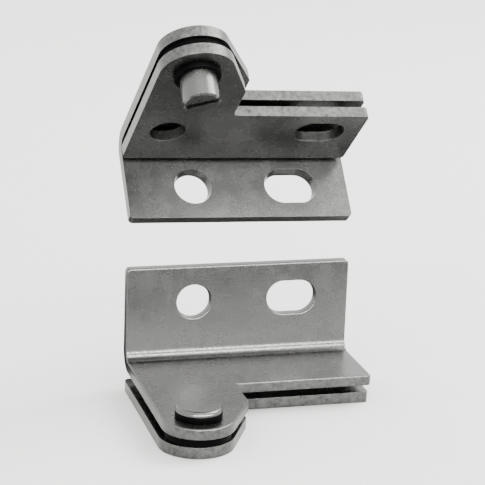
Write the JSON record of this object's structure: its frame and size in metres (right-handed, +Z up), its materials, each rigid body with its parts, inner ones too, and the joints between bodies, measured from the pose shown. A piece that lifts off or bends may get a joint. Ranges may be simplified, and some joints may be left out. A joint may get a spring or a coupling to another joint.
{
  "type": "door hinge",
  "caption": "Pair of offset pivot hinges for a door: a flat leaf and an angle leaf turn on a pin at the end of a tab, with a nylon bushing, round screw holes and slots.",
  "frame": {"origin": "on the underside of the bottom hinge's flat leaf, midway along the leaf, 15.6 mm in front of the standing flange's inner face", "axes": "+X along the leaves, away from the pins; -Y from the flange towards the pins, out of the door's face; +Z up"},
  "size_m": [0.0647, 0.0689, 0.1053],
  "materials": {
    "plate_steel": "satin zinc-plated pressed steel with a fine grain",
    "pin_steel": "turned and polished steel, lighter than the leaves",
    "black_nylon": "moulded black nylon with a soft sheen"
  },
  "bodies": {
    "frame_side": {"lower_flat_leaf": "plate_steel", "lower_pin": "pin_steel", "lower_washer": "black_nylon", "upper_angle_leaf": "plate_steel", "upper_washer": "black_nylon"},
    "lower_door_leaf": {"lower_angle_leaf": "plate_steel", "lower_bushing": "black_nylon"},
    "upper_door_leaf": {"upper_flat_leaf": "plate_steel", "upper_bushing": "black_nylon"},
    "upper_pin_shaft": {"upper_pin": "pin_steel"}
  },
  "joints": [
    {"name": "lower_swing", "type": "hinge", "parent": "frame_side", "child": "lower_door_leaf", "pos_m": [-0.02215, -0.0294, 0.0084], "axis": [0, 0, -1], "range_deg": [0, 180]},
    {"name": "upper_swing", "type": "hinge", "parent": "frame_side", "child": "upper_door_leaf", "pos_m": [-0.02051, -0.01013, 0.09396], "axis": [0, -0.6665, -0.7455], "range_deg": [0, 180]},
    {"name": "upper_pin_release", "type": "slide", "parent": "frame_side", "child": "upper_pin_shaft", "axis": [0, -0.6665, -0.7455], "range_m": [0, 0.0065]}
  ]
}
